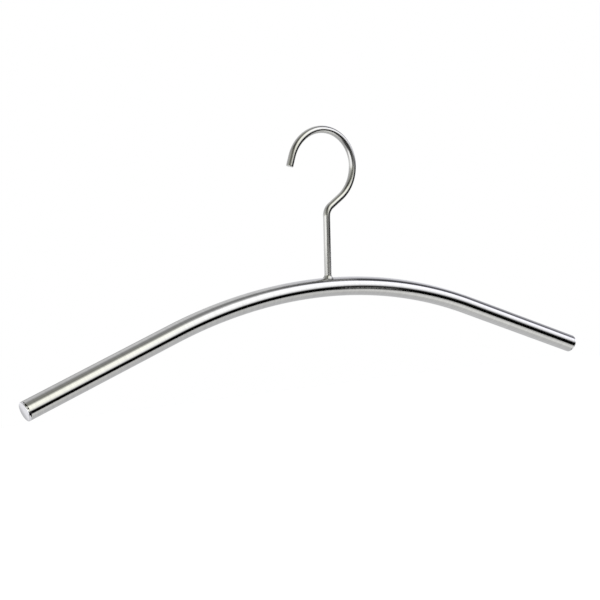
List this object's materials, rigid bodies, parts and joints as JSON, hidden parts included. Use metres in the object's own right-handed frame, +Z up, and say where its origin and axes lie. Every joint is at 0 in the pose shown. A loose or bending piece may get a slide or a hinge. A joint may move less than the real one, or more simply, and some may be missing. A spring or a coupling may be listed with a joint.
{
  "type": "coat hanger",
  "caption": "Coat hanger of bent round steel tube with capped ends and sloping shoulders, hung by a round wire hook welded to its crown.",
  "frame": {"origin": "rail seat: the point of the hook's inner surface that lies straight above the stem, where the hanger rests on a rail", "axes": "+X along the shoulders, away from the side that the hook opens to; +Y through the hanger's thickness, away from the camera of the picture; +Z up along the stem"},
  "size_m": [0.4564, 0.013, 0.1752],
  "materials": {
    "brushed_tube": "stainless steel with fine brushing that runs round the tube",
    "ground_cap": "finely ground stainless steel, satin bright",
    "drawn_wire": "bright drawn stainless steel wire, with fine lines along it",
    "weld_bead": "cleaned weld, a little darker than the tube"
  },
  "bodies": {
    "root": {"shoulder_bar": "brushed_tube", "left_end_cap": "ground_cap", "right_end_cap": "ground_cap", "hook": "drawn_wire", "hook_weld": "weld_bead"}
  },
  "joints": []
}
